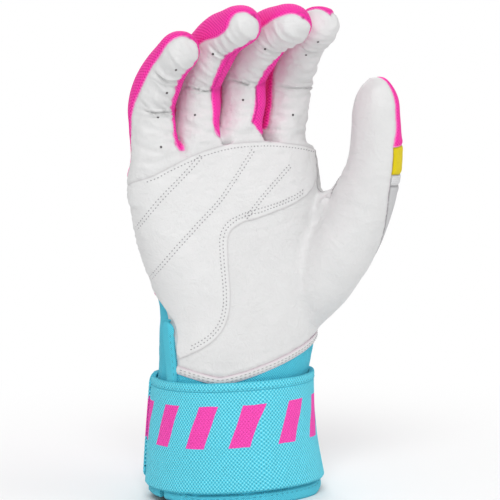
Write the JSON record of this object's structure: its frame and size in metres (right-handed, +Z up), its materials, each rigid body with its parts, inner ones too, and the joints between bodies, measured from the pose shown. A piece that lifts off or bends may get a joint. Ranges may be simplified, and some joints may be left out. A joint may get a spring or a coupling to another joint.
{
  "type": "batting glove",
  "caption": "Right-hand batting glove with leather palm, mesh fingers and back, ribbed cuff and hook-and-loop wrist strap, standing on its rim with the fingers half curled.",
  "frame": {"origin": "middle of the foot of the glove's box, on the surface it stands on", "axes": "+X to the thumb side, +Y from the palm to the back of the hand, +Z up toward the finger tips"},
  "size_m": [0.1234, 0.0736, 0.2283],
  "materials": {
    "white_leather": "soft full grain",
    "pink_mesh": "stretch mesh",
    "cuff_knit": "ribbed knit",
    "grey_side_leather": "perforated synthetic leather",
    "yellow_tab": "woven",
    "ribbed_band": "ribbed stretch fabric",
    "gusset_leather": "soft",
    "fastener_pile": "hook and loop pile"
  },
  "bodies": {
    "hand": {"palm_leather": "white_leather", "back_panel": "pink_mesh", "thumb_side_panel": "grey_side_leather", "thumb_flex_band": "ribbed_band", "pinky_fourchette_fold": "pink_mesh", "ring_fourchette_fold": "pink_mesh", "middle_fourchette_fold": "pink_mesh", "palm_patch": "white_leather", "thumb_web_gusset": "gusset_leather", "palm_hem": "white_leather", "cuff": "cuff_knit", "rim_binding": "cuff_knit", "slit_binding": "cuff_knit", "wrist_strap": "cuff_knit", "strap_hem": "cuff_knit", "loop_field": "fastener_pile"},
    "thumb": {"thumb_tip_leather": "white_leather", "thumb_tip_panel": "yellow_tab", "thumb_tip_back": "pink_mesh"},
    "pinky": {"pinky_leather": "white_leather", "pinky_back": "pink_mesh", "pinky_fourchette_radial": "pink_mesh"},
    "ring": {"ring_leather": "white_leather", "ring_back": "pink_mesh", "ring_fourchette_ulnar": "pink_mesh", "ring_fourchette_radial": "pink_mesh"},
    "middle": {"middle_leather": "white_leather", "middle_back": "pink_mesh", "middle_fourchette_ulnar": "pink_mesh", "middle_fourchette_radial": "pink_mesh"},
    "index": {"index_leather": "white_leather", "index_back": "pink_mesh", "index_fourchette_ulnar": "pink_mesh"},
    "strap_tab": {"strap_tab": "cuff_knit", "hook_field": "fastener_pile"}
  },
  "joints": [
    {"name": "pinky_curl", "type": "hinge", "parent": "hand", "child": "pinky", "pos_m": [-0.05069, -0.00997, 0.15371], "axis": [0.9781, 0.2079, 0], "range_deg": [0, 70]},
    {"name": "ring_curl", "type": "hinge", "parent": "hand", "child": "ring", "pos_m": [-0.02894, -0.01075, 0.16211], "axis": [0.9781, 0.2079, 0], "range_deg": [0, 70]},
    {"name": "middle_curl", "type": "hinge", "parent": "hand", "child": "middle", "pos_m": [-0.00669, -0.01091, 0.165], "axis": [0.9781, 0.2079, 0], "range_deg": [0, 70]},
    {"name": "index_curl", "type": "hinge", "parent": "hand", "child": "index", "pos_m": [0.01656, -0.01028, 0.16331], "axis": [0.9781, 0.2079, 0], "range_deg": [0, 70]},
    {"name": "thumb_curl", "type": "hinge", "parent": "hand", "child": "thumb", "pos_m": [0.03604, -0.02525, 0.15174], "axis": [-0.2047, 0.9629, 0.176], "range_deg": [-40, 0]},
    {"name": "strap_peel", "type": "hinge", "parent": "hand", "child": "strap_tab", "pos_m": [-0.01701, 0.03489, 0.032], "axis": [-0.0004, 0.0753, -0.9972], "range_deg": [0, 120]}
  ]
}
